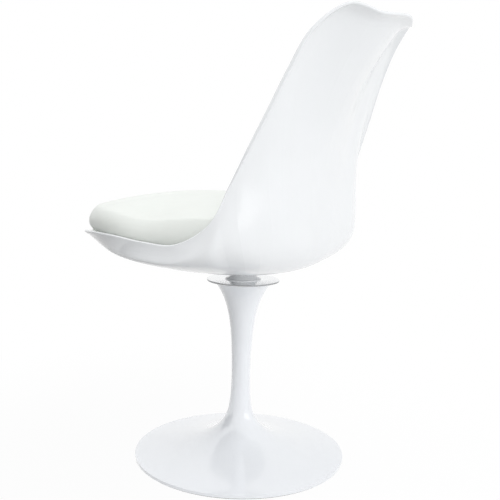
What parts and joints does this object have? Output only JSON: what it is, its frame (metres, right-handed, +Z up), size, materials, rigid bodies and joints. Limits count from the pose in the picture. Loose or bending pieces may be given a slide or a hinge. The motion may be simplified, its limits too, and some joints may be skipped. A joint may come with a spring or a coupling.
{
  "type": "swivel side chair",
  "caption": "Armless moulded shell chair with a rolled rim on a swivelling trumpet pedestal, with a loose crowned seat cushion.",
  "frame": {"origin": "on the floor, on the axis of the swivel, in the middle of the pad under the base", "axes": "+Z up along the swivel axis, -Y to the front of the seat, +X to the sitter's left"},
  "size_m": [0.5138, 0.5667, 0.7937],
  "materials": {
    "shell_gloss": "smooth high gloss",
    "hub_bright": "polished aluminium",
    "disc_bright": "polished aluminium",
    "pedestal_white": "high gloss lacquer",
    "zinc_steel": "zinc plated",
    "ground_steel": "ground",
    "polished_steel": "polished",
    "bush_bronze": "sintered",
    "cage_nylon": "moulded",
    "dark_nylon": "moulded",
    "black_rubber": "matte",
    "touch_fastener": "hook and loop",
    "cushion_cover": "fine grained soft leatherette"
  },
  "bodies": {
    "base": {"pedestal": "pedestal_white", "floor_pad": "black_rubber", "dust_ring": "dark_nylon", "lower_race": "ground_steel", "upper_bush": "bush_bronze", "lower_bush": "bush_bronze"},
    "seat": {"seat_shell": "shell_gloss", "seat_hub": "hub_bright", "hub_gasket": "black_rubber", "clamp_plate": "zinc_steel", "hub_screws": "zinc_steel", "swivel_disc": "disc_bright", "spindle": "ground_steel", "upper_race": "ground_steel", "spindle_washer": "zinc_steel", "spindle_clip": "ground_steel", "hook_pads": "touch_fastener"},
    "cage": {"ball_cage": "cage_nylon", "bearing_balls": "polished_steel"},
    "cushion": {"seat_cushion": "cushion_cover", "cushion_welt": "cushion_cover", "loop_pads": "touch_fastener"}
  },
  "joints": [
    {"name": "seat_swivel", "type": "hinge", "parent": "base", "child": "seat", "pos_m": [0, 0, 0.33], "axis": [0, 0, 1], "continuous": true},
    {"name": "cage_roll", "type": "hinge", "parent": "base", "child": "cage", "pos_m": [0, 0, 0.313], "axis": [0, 0, 1], "continuous": true},
    {"name": "cushion_lift", "type": "slide", "parent": "seat", "child": "cushion", "axis": [0, 0, 1], "range_m": [0, 0.15]}
  ],
  "couplings": [
    {"joint": "cage_roll", "follows": "seat_swivel", "ratio": 0.5}
  ]
}
